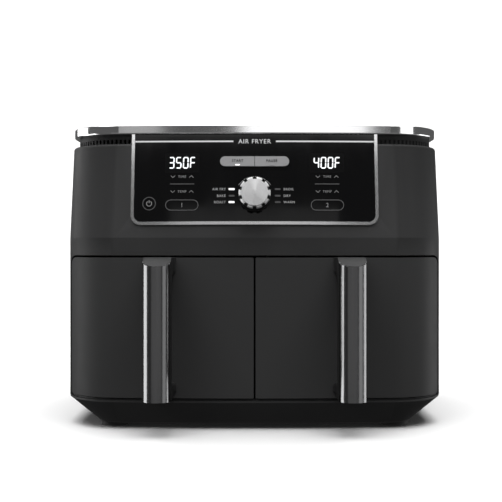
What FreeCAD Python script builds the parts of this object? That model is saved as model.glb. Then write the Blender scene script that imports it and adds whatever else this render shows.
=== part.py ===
"""Dual-zone countertop air fryer: two drawers, tilted glass control panel, bright top rim.

Frame, in millimetres: +Z up, the front faces -Y, +X is the right-hand side seen from the front.
The origin is on the ground at the centre of the overall box.
Every size is driven by the spreadsheet "Size".
"""
import FreeCAD, Part
import math
import os
import Sketcher
from types import SimpleNamespace
from FreeCAD import Placement, Rotation, Vector

DIMENSIONS = {
    # outer housing
    "housing_half": 206.7,
    "front_y": -126.0,
    "rear_y": 173.0,
    "front_corner": 62.0,
    "rear_corner": 34.0,
    "front_bow": 2000.0,
    "wall": 2.5,
    "housing_bottom": 31.0,
    "crease_z": 203.8,
    "shoulder_z": 304.9,
    "lean_angle": 8.4,
    "draft_angle": 1.0,
    "shoulder_round": 3.0,
    # base and feet
    "base_bottom": 5.3,
    "base_edge": 1.2,
    "base_slant_top": 29.0,
    "base_inset": 0.4,
    "base_draw_side": 37.8,
    "base_draw_front": 10.0,
    "base_draw_corner": 36.6,
    "base_draw_rear_corner": 9.0,
    "base_wall": 2.5,
    "base_collar": 5.1,
    "base_flange": 1.6,
    "foot_radius": 14.5,
    "foot_x": 153.6,
    "foot_front_y": -86.0,
    "foot_rear_y": 132.0,
    # rim, vent and top
    "rim_bottom": 315.1,
    "rim_top": 325.0,
    "rim_half": 203.9,
    "rim_front_y": -112.0,
    "rim_rear_y": 168.0,
    "rim_width": 13.5,
    "rim_round_top": 1.2,
    "rim_round_bottom": 1.6,
    "vent_inset": 5.5,
    "vent_depth": 5.0,
    "vent_slot_top": 310.0,
    "vent_pitch": 4.8,
    "cover_thickness": 3.0,
    "cover_z": 319.0,
    # drawer openings and fronts
    "opening_top": 185.0,
    "opening_x": 202.7,
    "drawer_bottom": 33.8,
    "drawer_top": 182.7,
    "drawer_outer_x": 201.1,
    "drawer_inner_x": 1.0,
    "drawer_wall": 2.5,
    "drawer_depth": 42.0,
    "drawer_corner": 7.0,
    "drawer_back_thickness": 3.0,
    # handles
    "handle_x": 99.8,
    "handle_width": 28.7,
    "handle_reach": 50.0,
    "handle_core_reach": 38.0,
    "handle_gap": 22.0,
    "handle_bottom": 37.0,
    "handle_top": 183.0,
    "handle_crown": 174.0,
    "handle_arm_top": 164.0,
    "handle_arm_bottom": 51.5,
    "handle_blend": 9.0,
    "handle_flare_top": 2.5,
    "handle_flare_bottom": 3.8,
    "handle_cover_wall": 1.5,
    # frame behind the drawers
    "frame_y": -82.0,
    "frame_thickness": 3.0,
    "frame_opening_top": 186.0,
    # zones
    "zone_x": 100.0,
    "basket_half": 82.0,
    "basket_length": 228.0,
    "basket_bottom": 41.0,
    "basket_top": 171.0,
    "basket_wall": 1.5,
    "basket_corner": 12.0,
    "basket_floor_round": 10.0,
    "crisper_z": 54.0,
    "crisper_thickness": 1.5,
    "crisper_gap": 4.0,
    "bumper_radius": 5.0,
    "liner_half": 92.0,
    "liner_rear_y": 152.0,
    "liner_bottom": 35.5,
    "liner_top": 212.0,
    "liner_wall": 1.0,
    "drum_radius": 76.0,
    "drum_top": 232.0,
    "fan_y": 34.0,
    "heater_radius": 66.0,
    "heater_tube": 3.25,
    "heater_z": 200.0,
    "guard_z": 188.0,
    "guard_wire": 1.25,
    "fan_shaft": 3.0,
    "hot_fan_radius": 58.0,
    "hot_fan_z": 214.0,
    "hot_fan_height": 13.0,
    "fan_hub": 9.0,
    "fan_plate": 1.2,
    "fan_blade": 1.2,
    "leg_length": 44.0,
    "probe_radius": 2.0,
    "probe_length": 54.0,
    "cutout_radius": 8.0,
    "deck_half": 190.0,
    "deck_thickness": 1.5,
    "power_half": 42.0,
    "power_length": 110.0,
    "motor_radius": 30.0,
    "motor_height": 34.0,
    "cooling_fan_radius": 40.0,
    "cooling_fan_z": 284.0,
    "cooling_fan_height": 12.0,
    # control panel
    "panel_half": 131.95,
    "panel_bottom_z": 217.8,
    "panel_corner": 11.0,
    "trim_width": 3.3,
    "trim_proud": 1.2,
    "glass_thickness": 2.2,
    "carrier_thickness": 2.5,
    "display_x": 77.4,
    "display_z": 284.0,
    "display_width": 38.0,
    "display_height": 22.0,
    "board_depth": 16.0,
    "board_thickness": 1.6,
    "board_half": 118.0,
    "board_height": 72.0,
    "board_middle_z": 262.0,
    "display_gap": 6.0,
    # dial
    "dial_z": 248.4,
    "dial_skirt_radius": 17.2,
    "dial_skirt_height": 4.0,
    "dial_grip_radius": 15.8,
    "dial_crown_radius": 16.8,
    "crown_height": 4.4,
    "crown_bevel": 0.8,
    "crown_notch": 4.1,
    "dial_face_radius": 14.1,
    "dial_dish": 0.8,
    "dial_reach": 20.0,
    "dial_shaft": 3.0,
    "grip_bottom": 5.5,
    "grip_top": 13.0,
    # two-key pill
    "key_z": 285.3,
    "key_pill_width": 73.7,
    "key_pill_height": 10.7,
    "key_gap": 0.5,
    "key_clearance": 0.3,
    "key_proud": 1.4,
    # rear cover
    "cover_half": 172.0,
    "rear_cover_bottom": 56.0,
    "rear_cover_top": 286.0,
    "slot_width": 3.0,
    "slot_height": 46.0,
    "gland_radius": 8.0,
    "screw_radius": 1.75,
    "screw_head": 3.5,
    "head_height": 1.6,
    "shank_length": 7.5,
}

SIDES = {"left": -1, "right": 1}
UP = Vector(0, 0, 1)
RIGHT = Vector(1, 0, 0)
BACK = Vector(0, 1, 0)
FRONT = Vector(0, -1, 0)

doc = FreeCAD.newDocument("air_fryer")
sheet = doc.addObject("Spreadsheet::Sheet", "Size")
for row, (alias, value) in enumerate(DIMENSIONS.items(), start=1):
    sheet.set(f"A{row}", alias)
    sheet.set(f"B{row}", str(value))
    sheet.setAlias(f"B{row}", alias)
doc.recompute()
mm = SimpleNamespace(**{alias: float(sheet.get(alias)) for alias in DIMENSIONS})
sub_parts = []


# ---------------------------------------------------------------- document helpers
def cells(expression):
    """Turn names of dimensions in an expression into references to the sheet."""
    words = expression.replace("(", " ( ").replace(")", " ) ").split()
    return " ".join(f"Size.{word}" if word in DIMENSIONS else word for word in words)


def bind(obj, **expressions):
    """Drive properties of an object from the sheet."""
    for prop, expression in expressions.items():
        obj.setExpression(prop.replace("__", "."), cells(expression))
    return obj


def keep(obj, label):
    """Mark a document object as one sub-part, under its own name."""
    obj.Label = label
    sub_parts.append(obj)
    return obj


def place(obj, base, axis=UP):
    """Put an object at base with its own Z along axis."""
    obj.Placement = Placement(Vector(*base), Rotation(UP, Vector(*axis)))
    return obj


def cylinder(name, radius, height, base=(0, 0, 0), axis=UP):
    """Cylinder whose radius and height are expressions."""
    obj = doc.addObject("Part::Cylinder", name)
    bind(obj, Radius=radius, Height=height)
    return place(obj, base, axis)


def box(name, length, width, height, base=(0, 0, 0)):
    """Box whose sizes are expressions; base is its lowest corner."""
    obj = doc.addObject("Part::Box", name)
    bind(obj, Length=length, Width=width, Height=height)
    return place(obj, base)


def fuse(name, pieces):
    """Union of document objects."""
    obj = doc.addObject("Part::MultiFuse", name)
    obj.Shapes = pieces
    return obj


def cut(name, base, tool):
    """Difference of two document objects."""
    obj = doc.addObject("Part::Cut", name)
    obj.Base = base
    obj.Tool = tool
    return obj


def group(name, pieces):
    """Several separate solids under one name."""
    obj = doc.addObject("Part::Compound", name)
    obj.Links = pieces
    return obj


def shaped(label, shape):
    """Sub-part whose shape is worked out from the sheet by a formula."""
    obj = doc.addObject("Part::Feature", label)
    obj.Shape = shape
    obj.Placement = Placement()
    return keep(obj, label)


# ---------------------------------------------------------------- sketch helpers
def sketch_on(body, role, name, offset=None):
    """Sketch on one of the body's own origin planes, lifted by an optional expression."""
    sketch = body.newObject("Sketcher::SketchObject", name)
    plane = next(item for item in body.Origin.OriginFeatures if item.Role == role)
    sketch.AttachmentSupport = [(plane, "")]
    sketch.MapMode = "FlatFace"
    if offset:
        sketch.setExpression("AttachmentOffset.Base.z", cells(offset))
    return sketch


def constrain(sketch, kind, *args, value):
    """Add a dimension to a sketch and drive it from the sheet."""
    index = sketch.addConstraint(Sketcher.Constraint(kind, *args, 1.0))
    sketch.setExpression(f"Constraints[{index}]", cells(value))


def circle_in(sketch, radius, at_x=None):
    """Circle in a sketch, on its origin or at a distance along its X axis."""
    index = sketch.addGeometry(Part.Circle(Vector(0, 0, 0), UP, 5.0))
    sketch.addConstraint(Sketcher.Constraint("PointOnObject", index, 3, -1))
    if at_x:
        constrain(sketch, "DistanceX", -1, 1, index, 3, value=at_x)
    else:
        sketch.addConstraint(Sketcher.Constraint("PointOnObject", index, 3, -2))
    constrain(sketch, "Radius", index, value=radius)


def rectangle_in(sketch, low_x, high_x, low_y, high_y):
    """Rectangle in a sketch whose four sides are at the given expressions."""
    corners = [Vector(-9, -9, 0), Vector(9, -9, 0), Vector(9, 9, 0), Vector(-9, 9, 0)]
    first = sketch.GeometryCount
    for start, end in zip(corners, corners[1:] + corners[:1]):
        sketch.addGeometry(Part.LineSegment(start, end))
    for side in range(4):
        following = first + (side + 1) % 4
        sketch.addConstraint(Sketcher.Constraint("Coincident", first + side, 2, following, 1))
    for side in (0, 2):
        sketch.addConstraint(Sketcher.Constraint("Horizontal", first + side))
        sketch.addConstraint(Sketcher.Constraint("Vertical", first + side + 1))
    constrain(sketch, "DistanceX", -1, 1, first, 1, value=low_x)
    constrain(sketch, "DistanceX", -1, 1, first, 2, value=high_x)
    constrain(sketch, "DistanceY", -1, 1, first, 1, value=low_y)
    constrain(sketch, "DistanceY", -1, 1, first + 2, 1, value=high_y)


def pad(body, sketch, name, length):
    """Pad of a sketch with its length driven from the sheet."""
    feature = body.newObject("PartDesign::Pad", name)
    feature.Profile = sketch
    bind(feature, Length=length)
    return feature


def pocket(body, sketch, name, length, reverse=False):
    """Pocket of a sketch with its depth driven from the sheet."""
    feature = body.newObject("PartDesign::Pocket", name)
    feature.Profile = sketch
    feature.Reversed = reverse
    bind(feature, Length=length)
    return feature


def polar(body, feature, name, count):
    """Repeat a feature evenly about the body's own Z axis."""
    pattern = body.newObject("PartDesign::PolarPattern", name)
    pattern.Originals = [feature]
    axis = next(item for item in body.Origin.OriginFeatures if item.Role == "Z_Axis")
    pattern.Axis = (axis, [""])
    pattern.Angle = 360
    pattern.Occurrences = count
    body.Tip = pattern
    return pattern


def row_of(body, feature, name, role, spread, count):
    """Repeat a feature in a row along one of the body's own axes."""
    pattern = body.newObject("PartDesign::LinearPattern", name)
    pattern.Originals = [feature]
    axis = next(item for item in body.Origin.OriginFeatures if item.Role == role)
    pattern.Direction = (axis, [""])
    bind(pattern, Length=spread)
    pattern.Occurrences = count
    body.Tip = pattern
    return pattern


# ---------------------------------------------------------------- plan outline of the casing
LEAN = math.radians(mm.lean_angle)
DRAFT = math.radians(mm.draft_angle)


def arc(start, middle, end):
    """Edge through three points."""
    return Part.Arc(start, middle, end).toShape()


def outline(z, half, front_y, rear_y, corner, rear_corner, bow=mm.front_bow):
    """Closed plan outline: bowed front, round corners, straight sides and back."""
    bow_y = front_y + bow
    corner_x = half - corner
    corner_y = bow_y - math.sqrt((bow - corner) ** 2 - corner_x ** 2)
    reach = bow / (bow - corner)
    tangent = Vector(corner_x * reach, bow_y + (corner_y - bow_y) * reach, z)
    turn = math.atan2(tangent.y - corner_y, tangent.x - corner_x) / 2
    middle = Vector(corner_x + corner * math.cos(turn), corner_y + corner * math.sin(turn), z)
    side = Vector(half, corner_y, z)
    rear_side = Vector(half, rear_y - rear_corner, z)
    slope = rear_corner * math.sqrt(0.5)
    rear_middle = Vector(half - rear_corner + slope, rear_y - rear_corner + slope, z)
    rear_end = Vector(half - rear_corner, rear_y, z)

    def mirrored(point):
        return Vector(-point.x, point.y, point.z)

    return Part.Wire([
        arc(mirrored(tangent), Vector(0, front_y, z), tangent),
        arc(tangent, middle, side),
        Part.LineSegment(side, rear_side).toShape(),
        arc(rear_side, rear_middle, rear_end),
        Part.LineSegment(rear_end, mirrored(rear_end)).toShape(),
        arc(mirrored(rear_end), mirrored(rear_middle), mirrored(rear_side)),
        Part.LineSegment(mirrored(rear_side), mirrored(side)).toShape(),
        arc(mirrored(side), mirrored(middle), mirrored(tangent)),
    ])


def casing_outline(z, inset=0.0):
    """Outline of the casing at height z, moved inwards by inset."""
    rise = max(0.0, z - mm.crease_z)
    half = mm.housing_half - math.tan(DRAFT) * rise
    front = mm.front_y + math.tan(LEAN) * rise
    return outline(z, half - inset, front + inset, mm.rear_y - inset,
                   mm.front_corner - inset, mm.rear_corner - inset, mm.front_bow - inset)


def loft(wires):
    """Straight-sided solid through a stack of outlines."""
    solids = [Part.makeLoft([low, high], True, True) for low, high in zip(wires, wires[1:])]
    whole = solids[0]
    for solid in solids[1:]:
        whole = whole.fuse(solid)
    return whole.removeSplitter()


def casing_solid(bottom, top, inset=0.0):
    """Solid casing between two heights, moved inwards by inset."""
    stops = [bottom, mm.crease_z, top] if bottom < mm.crease_z < top else [bottom, top]
    return loft([casing_outline(level, inset) for level in stops])


def block(low, high):
    """Box between two corners."""
    return Part.makeBox(*(Vector(*high) - Vector(*low)), Vector(*low))


def rounded_wire(low_x, high_x, low_z, high_z, y, radii):
    """Upright outline with four corner radii: bottom left, bottom right, top right, top left."""
    corners = [(low_x, low_z), (high_x, low_z), (high_x, high_z), (low_x, high_z)]
    inward = [(1, 1), (-1, 1), (-1, -1), (1, -1)]
    edges = []
    joints = []
    for (x, z), (sx, sz), radius in zip(corners, inward, radii):
        along_z = Vector(x, y, z + sz * radius)
        along_x = Vector(x + sx * radius, y, z)
        bulge = radius * (1 - math.sqrt(0.5))
        middle = Vector(x + sx * bulge, y, z + sz * bulge)
        first, last = (along_z, along_x) if sx * sz > 0 else (along_x, along_z)
        edges.append((first, middle, last))
        joints.append((first, last))
    path = []
    for index, (first, middle, last) in enumerate(edges):
        path.append(arc(first, middle, last))
        following = joints[(index + 1) % 4][0]
        path.append(Part.LineSegment(last, following).toShape())
    return Part.Wire(path)


def rounded_plate(low_x, high_x, low_z, high_z, low_y, high_y, radii):
    """Upright plate with four corner radii, in the order of rounded_wire."""
    wire = rounded_wire(low_x, high_x, low_z, high_z, low_y, radii)
    return Part.Face(wire).extrude(Vector(0, high_y - low_y, 0))


# ---------------------------------------------------------------- outer casing
def make_outer_housing():
    """Painted shell: front face that leans back above a crease, open below and for the drawers.

    The drawers' opening runs out through the lower edge, where the base closes it.
    """
    body = casing_solid(mm.housing_bottom, mm.shoulder_z)
    rim_edges = [edge for edge in body.Edges
                 if all(abs(vertex.Z - mm.shoulder_z) < 0.01 for vertex in edge.Vertexes)]
    body = body.makeFillet(mm.shoulder_round, rim_edges)
    body = body.cut(casing_solid(mm.housing_bottom - 1, mm.shoulder_z - mm.wall, mm.wall))
    vent_hole = vent_outline(mm.shoulder_z - 2 * mm.wall, -0.2)
    body = body.cut(Part.Face(vent_hole).extrude(Vector(0, 0, 4 * mm.wall)))
    drawers = rounded_plate(-mm.opening_x, mm.opening_x, mm.housing_bottom - 5, mm.opening_top,
                            mm.front_y - 10, mm.front_y + mm.drawer_depth + 4,
                            (2, 2, mm.drawer_corner + 1.5, mm.drawer_corner + 1.5))
    body = body.cut(drawers)
    body = body.cut(panel_prism(0.0).common(block((-160, mm.front_y - 5, 200), (160, -60, 340))))
    rear = rounded_plate(-mm.cover_half + 8, mm.cover_half - 8, mm.rear_cover_bottom + 8,
                         mm.rear_cover_top - 8, mm.rear_y - 10, mm.rear_y + 5, (8, 8, 8, 8))
    body = body.cut(rear)
    for x, z in rear_screw_places():
        hole = Part.makeCylinder(mm.screw_radius + 0.05, 10, Vector(x, mm.rear_y - 6, z), BACK)
        body = body.cut(hole)
    return body


def rear_screw_places():
    """Centres of the rear cover's four screws."""
    side = mm.cover_half - 6
    return [(x, z) for x in (-side, side)
            for z in (mm.rear_cover_bottom + 12, mm.rear_cover_top - 12)]


def vent_outline(z, inset=0.0):
    """Outline of the vent ring under the rim."""
    total = mm.vent_inset + inset
    return outline(z, mm.rim_half - total, mm.rim_front_y + total, mm.rim_rear_y - total,
                   mm.front_corner - total, mm.rear_corner - total, mm.front_bow - total)


def make_vent_ring():
    """Ring between casing and rim: upright ribs with open slots, under a solid band."""
    foot = mm.shoulder_z - mm.wall
    ring = loft([vent_outline(foot), vent_outline(mm.rim_bottom)])
    ring = ring.cut(loft([vent_outline(foot - 1, mm.vent_depth),
                          vent_outline(mm.rim_bottom + 1, mm.vent_depth)]))
    slot_foot = mm.shoulder_z + 0.4
    outside = vent_outline(slot_foot, -1)
    ribs = int(outside.Length / mm.vent_pitch)
    outside = outside.discretize(Number=2 * ribs + 1)
    inside = vent_outline(slot_foot, mm.vent_depth + 1).discretize(Number=2 * ribs + 1)
    slots = []
    for index in range(0, 2 * ribs, 2):
        corners = [outside[index], outside[index + 1], inside[index + 1], inside[index]]
        face = Part.Face(Part.makePolygon(corners + corners[:1]))
        slots.append(face.extrude(UP * (mm.vent_slot_top - slot_foot)))
    return ring.cut(slots).cut(panel_prism(-0.2))


def rim_outline(z, inset):
    """Outline of the bright rim."""
    return outline(z, mm.rim_half - inset, mm.rim_front_y + inset, mm.rim_rear_y - inset,
                   mm.front_corner - inset, mm.rear_corner - inset, mm.front_bow - inset)


def make_top_rim():
    """Bright band around the top with softened edges."""
    band = loft([rim_outline(mm.rim_bottom, 0), rim_outline(mm.rim_top, 0)])
    for level, radius in ((mm.rim_top, mm.rim_round_top), (mm.rim_bottom, mm.rim_round_bottom)):
        edges = [edge for edge in band.Edges
                 if all(abs(vertex.Z - level) < 0.01 for vertex in edge.Vertexes)]
        band = band.makeFillet(radius, edges)
    hollow = loft([rim_outline(mm.rim_bottom - 1, mm.rim_width),
                   rim_outline(mm.rim_top + 1, mm.rim_width)])
    return band.cut(hollow)


def make_top_cover():
    """Lid panel inside the rim, with a shallow raised field and a skirt that meets the vent ring."""
    top = mm.cover_z + mm.cover_thickness
    plate = loft([rim_outline(mm.rim_bottom, mm.rim_width), rim_outline(top, mm.rim_width)])
    hollow = loft([rim_outline(mm.rim_bottom - 1, mm.rim_width + mm.cover_thickness),
                   rim_outline(mm.cover_z, mm.rim_width + mm.cover_thickness)])
    field = loft([rim_outline(top - 0.5, mm.rim_width + 9), rim_outline(top + 1.2, mm.rim_width + 11)])
    return plate.cut(hollow).fuse(field).removeSplitter()


def base_outline(z, inset=0.0):
    """Outline of the base at height z: upright at the top, drawn in towards the ground."""
    share = max(0.0, (mm.base_slant_top - z) / (mm.base_slant_top - mm.base_bottom))
    draw = mm.base_inset + mm.base_draw_front * share + inset
    half = mm.housing_half - mm.base_inset - mm.base_draw_side * share - inset
    corner = mm.front_corner - mm.base_inset - mm.base_draw_corner * share - inset
    rear_corner = mm.rear_corner - mm.base_inset - mm.base_draw_rear_corner * share - inset
    return outline(z, half, mm.front_y + draw, mm.rear_y - draw, corner, rear_corner)


def make_base_pan():
    """Base that slants in towards the ground: a tray with a collar and a flange under the casing."""
    floor, slant, top = mm.base_bottom + mm.base_wall, mm.base_slant_top, mm.housing_bottom
    tray = loft([base_outline(mm.base_bottom, mm.base_edge),
                 base_outline(mm.base_bottom + mm.base_edge), base_outline(slant), base_outline(top)])
    hollow = loft([base_outline(floor, mm.base_wall), base_outline(slant, mm.base_collar),
                   base_outline(top + 1, mm.base_collar)])
    flange = Part.Face(casing_outline(top, mm.wall + 0.1)).extrude(UP * mm.base_flange)
    inside = casing_outline(top - 1, mm.base_inset + mm.base_collar)
    flange = flange.cut(Part.Face(inside).extrude(UP * (mm.base_flange + 2)))
    pan = tray.cut(hollow).fuse(flange).removeSplitter()
    for x, y in foot_places():
        pilot = Part.makeCylinder(mm.screw_radius + 0.05, 12, Vector(x, y, mm.base_bottom - 2))
        pan = pan.cut(pilot)
    return pan


def foot_places():
    """Centres of the four feet."""
    return [(x, y) for x in (-mm.foot_x, mm.foot_x) for y in (mm.foot_front_y, mm.foot_rear_y)]


def make_feet():
    """Four round feet with a recess for the screw that holds each."""
    feet = []
    for index, (x, y) in enumerate(foot_places()):
        disc = cylinder(f"foot_disc_{index}", "foot_radius", "base_bottom", (x, y, 0))
        recess = cylinder(f"foot_recess_{index}", "screw_head + 0.5", "base_bottom / 2", (x, y, 0))
        bore = cylinder(f"foot_bore_{index}", "screw_radius + 0.05", "base_bottom", (x, y, 0))
        hole = fuse(f"foot_hole_{index}", [recess, bore])
        feet.append(cut(f"foot_{index}", disc, hole))
    keep(group("feet_group", feet), "feet")


def make_case_screws():
    """Screws that hold the feet and the rear cover, each from the seat under its head."""
    seats = [((x, y, mm.base_bottom / 2), UP) for x, y in foot_places()]
    seat_y = mm.rear_y + mm.cover_thickness - mm.head_height
    seats += [((x, seat_y, z), FRONT) for x, z in rear_screw_places()]
    screws = []
    for index, (seat, axis) in enumerate(seats):
        under_head = Vector(*seat)
        head = cylinder(f"screw_head_{index}", "screw_head", "head_height",
                        under_head - axis * mm.head_height, axis)
        shank = cylinder(f"screw_shank_{index}", "screw_radius", "shank_length", under_head, axis)
        screws.append(fuse(f"screw_{index}", [head, shank]))
    keep(group("case_screw_group", screws), "case_screws")


def make_rear_cover():
    """Rear cover with two rows of exhaust slots, a gland hole and four counterbored screw holes."""
    body = doc.addObject("PartDesign::Body", "rear_cover_body")
    plate = sketch_on(body, "XZ_Plane", "rear_plate_sketch", "- rear_y - cover_thickness")
    rectangle_in(plate, "- cover_half", "cover_half", "rear_cover_bottom", "rear_cover_top")
    pad(body, plate, "rear_plate", "cover_thickness")
    slots = sketch_on(body, "XZ_Plane", "rear_slot_sketch", "- rear_y - cover_thickness")
    rectangle_in(slots, "- cover_half + 26", "- cover_half + 26 + slot_width",
                 "rear_cover_top - 24 - slot_height", "rear_cover_top - 24")
    slot = pocket(body, slots, "rear_slot", "2 * cover_thickness", reverse=True)
    row_of(body, slot, "rear_slots", "X_Axis", "2 * cover_half - 52 - slot_width", 36)
    doc.recompute()
    seat_y = mm.rear_y + mm.cover_thickness - mm.head_height
    gland_x, gland_z = gland_place()
    tools = [cylinder("rear_gland_hole", "gland_radius + 0.05", "20",
                      (gland_x, mm.rear_y - 8, gland_z), BACK)]
    for index, (x, z) in enumerate(rear_screw_places()):
        tools.append(cylinder(f"rear_bore_{index}", "screw_radius + 0.05", "20",
                              (x, mm.rear_y - 8, z), BACK))
        tools.append(cylinder(f"rear_counterbore_{index}", "screw_head + 0.05", "8",
                              (x, seat_y, z), BACK))
    keep(cut("rear_cover_cut", body, fuse("rear_cover_holes", tools)), "rear_cover")


def gland_place():
    """Centre of the cord gland on the rear cover."""
    return mm.cover_half - 30, mm.rear_cover_bottom + 24


def make_cord_gland():
    """Round inlet bush for the mains lead, with a flange behind the cover."""
    x, z = gland_place()
    sleeve = cylinder("gland_sleeve", "gland_radius", "cover_thickness", (x, mm.rear_y, z), BACK)
    flange_y = mm.rear_y - 4
    flange = cylinder("gland_flange", "gland_radius + 3", "4", (x, flange_y, z), BACK)
    bore = cylinder("gland_bore", "gland_radius / 2", "12", (x, flange_y - 1, z), BACK)
    keep(cut("gland", fuse("gland_outer", [sleeve, flange]), bore), "cord_gland")


# ---------------------------------------------------------------- control panel
PANEL_OUT = Vector(0, -math.cos(LEAN), math.sin(LEAN))
PANEL_UP = Vector(0, math.sin(LEAN), math.cos(LEAN))


def on_panel(x, z, out=0.0):
    """Point above the leaning face at height z on its centre plane, lifted out of it."""
    along = (z - mm.crease_z) / math.cos(LEAN)
    point = Vector(x, mm.front_y, mm.crease_z) + PANEL_UP * along
    bow = mm.front_bow - math.sqrt(mm.front_bow ** 2 - x ** 2)
    return point - PANEL_OUT * bow + PANEL_OUT * out


def panel_prism(inset):
    """Solid that stands through the leaning face with the panel's outline."""
    half = mm.panel_half - inset
    bottom = mm.panel_bottom_z + inset - mm.crease_z
    corner = mm.panel_corner - inset
    prism = rounded_plate(-half, half, bottom, 140, -30, 30, (corner, corner, 0.5, 0.5))
    prism.Placement = Placement(Vector(0, mm.front_y, mm.crease_z), Rotation(RIGHT, -mm.lean_angle))
    return prism


def panel_layer(outer, inner, inset, top=None):
    """Part of the leaning face between two depths, within the panel's outline."""
    height = top or mm.rim_bottom
    layer = casing_solid(mm.crease_z - 5, height, outer)
    layer = layer.cut(casing_solid(mm.crease_z - 6, height + 1, inner))
    return layer.common(panel_prism(inset)).common(block((-200, -160, 190), (200, -60, 340)))


def pill(width, height, depth, x, z, out):
    """Stadium-shaped solid on the panel, its outer face at height out."""
    radius = height / 2
    reach = width / 2 - radius
    straight = Part.makeBox(2 * reach, height, depth, Vector(-reach, -radius, 0))
    ends = [Part.makeCylinder(radius, depth, Vector(side * reach, 0, 0)) for side in (-1, 1)]
    shape = straight.fuse(ends).removeSplitter()
    return to_panel(shape, x, z, out - depth)


def to_panel(shape, x, z, out):
    """Turn a solid modelled along +Z so that it stands out of the panel at a point."""
    tilt = Rotation(RIGHT, 90 - mm.lean_angle)
    moved = shape.copy()
    moved.Placement = Placement(on_panel(x, z, out), tilt)
    return moved


def make_panel():
    """Glass, its bright U-shaped trim and the carrier behind both."""
    trim = panel_layer(-mm.trim_proud, mm.glass_thickness, 0.0).cut(panel_prism(mm.trim_width))
    glass = panel_layer(0.0, mm.glass_thickness, mm.trim_width + 0.05)
    carrier = panel_layer(mm.wall + 0.1, mm.wall + 0.1 + mm.carrier_thickness, -5.0, mm.shoulder_z - 4)
    key_hole = pill(mm.key_pill_width + 2 * mm.key_clearance, mm.key_pill_height + 2 * mm.key_clearance,
                    20, 0, mm.key_z, 8)
    dial_hole = to_panel(Part.makeCylinder(mm.dial_shaft + 1.5, 20), 0, mm.dial_z, -12)
    glass = glass.cut(key_hole).cut(dial_hole)
    carrier = carrier.cut(key_hole).cut(dial_hole)
    for side in SIDES.values():
        window = Part.makeBox(mm.display_width, mm.display_height, 20,
                              Vector(-mm.display_width / 2, -mm.display_height / 2, 0))
        carrier = carrier.cut(to_panel(window, side * mm.display_x, mm.display_z, -14))
    for x, z, width, height in lamp_places():
        slot = Part.makeBox(width + 0.6, height + 0.6, 20,
                            Vector(-width / 2 - 0.3, -height / 2 - 0.3, 0))
        carrier = carrier.cut(to_panel(slot, x, z, -14))
    shaped("panel_trim", trim)
    shaped("panel_glass", glass)
    shaped("panel_carrier", carrier)


def lamp_places():
    """Mode lamps beside the dial: centre x, height z, width and height of each."""
    rows = (255.5, 248.4, 241.6)
    return [(side * 24.5, z, 6.1, 1.9) for side in (-1, 1) for z in rows]


def make_indicator_lamps():
    """Light guides from the control board to the back of the glass."""
    front = -mm.glass_thickness - 0.25
    length = mm.board_depth + front - 0.3
    lamps = []
    for x, z, width, height in lamp_places():
        guide = Part.makeBox(width, height, length, Vector(-width / 2, -height / 2, 0))
        lamps.append(to_panel(guide, x, z, front - length))
    shaped("indicator_lamps", Part.makeCompound(lamps))


def make_displays():
    """Two digit display modules between the glass and the control board."""
    for side_name, side in SIDES.items():
        body = doc.addObject("PartDesign::Body", f"display_{side_name}_body")
        sketch = sketch_on(body, "XY_Plane", f"display_{side_name}_sketch")
        rectangle_in(sketch, "- display_width / 2 + 0.5", "display_width / 2 - 0.5",
                     "- display_height / 2 + 0.5", "display_height / 2 - 0.5")
        pad(body, sketch, f"display_{side_name}_pad", "board_depth - display_gap")
        tilt = Rotation(RIGHT, 90 - mm.lean_angle)
        body.Placement = Placement(board_point(side * mm.display_x, mm.display_z), tilt)
        keep(body, f"display_{side_name}")


def board_point(x, z):
    """Point on the front of the control board."""
    along = (z - mm.crease_z) / math.cos(LEAN)
    centre = Vector(x, mm.front_y, mm.crease_z) + PANEL_UP * along
    return centre - PANEL_OUT * mm.board_depth


def make_control_board():
    """Circuit board that carries the displays, lamps and encoder, with mounting holes."""
    body = doc.addObject("PartDesign::Body", "control_board_body")
    sketch = sketch_on(body, "XY_Plane", "control_board_sketch")
    rectangle_in(sketch, "- board_half", "board_half", "- board_height / 2", "board_height / 2")
    pad(body, sketch, "control_board_pad", "board_thickness")
    holes = sketch_on(body, "XY_Plane", "control_board_hole_sketch")
    circle_in(holes, "screw_radius", "- board_half + 6")
    hole = pocket(body, holes, "control_board_hole", "2 * board_thickness", reverse=True)
    row_of(body, hole, "control_board_holes", "X_Axis", "2 * board_half - 12", 2)
    middle = board_point(0, mm.board_middle_z) - PANEL_OUT * mm.board_thickness
    body.Placement = Placement(middle, Rotation(RIGHT, 90 - mm.lean_angle))
    keep(body, "control_board")


# ---------------------------------------------------------------- dial and keys
def turned(name, label, discs, bore=None):
    """Stack of discs (radius, height, start) on one axis, standing out of the panel at the dial."""
    tilt = Rotation(RIGHT, 90 - mm.lean_angle)
    pieces = []
    for index, (radius, length, start) in enumerate(discs):
        disc = cylinder(f"{name}_disc_{index}", radius, length)
        disc.Placement = Placement(on_panel(0, mm.dial_z, start), tilt)
        pieces.append(disc)
    whole = fuse(f"{name}_discs", pieces) if len(pieces) > 1 else pieces[0]
    if bore:
        radius, length, start = bore
        hole = cylinder(f"{name}_bore", radius, length)
        hole.Placement = Placement(on_panel(0, mm.dial_z, start), tilt)
        whole = cut(f"{name}_cut", whole, hole)
    return keep(whole, label)


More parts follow.
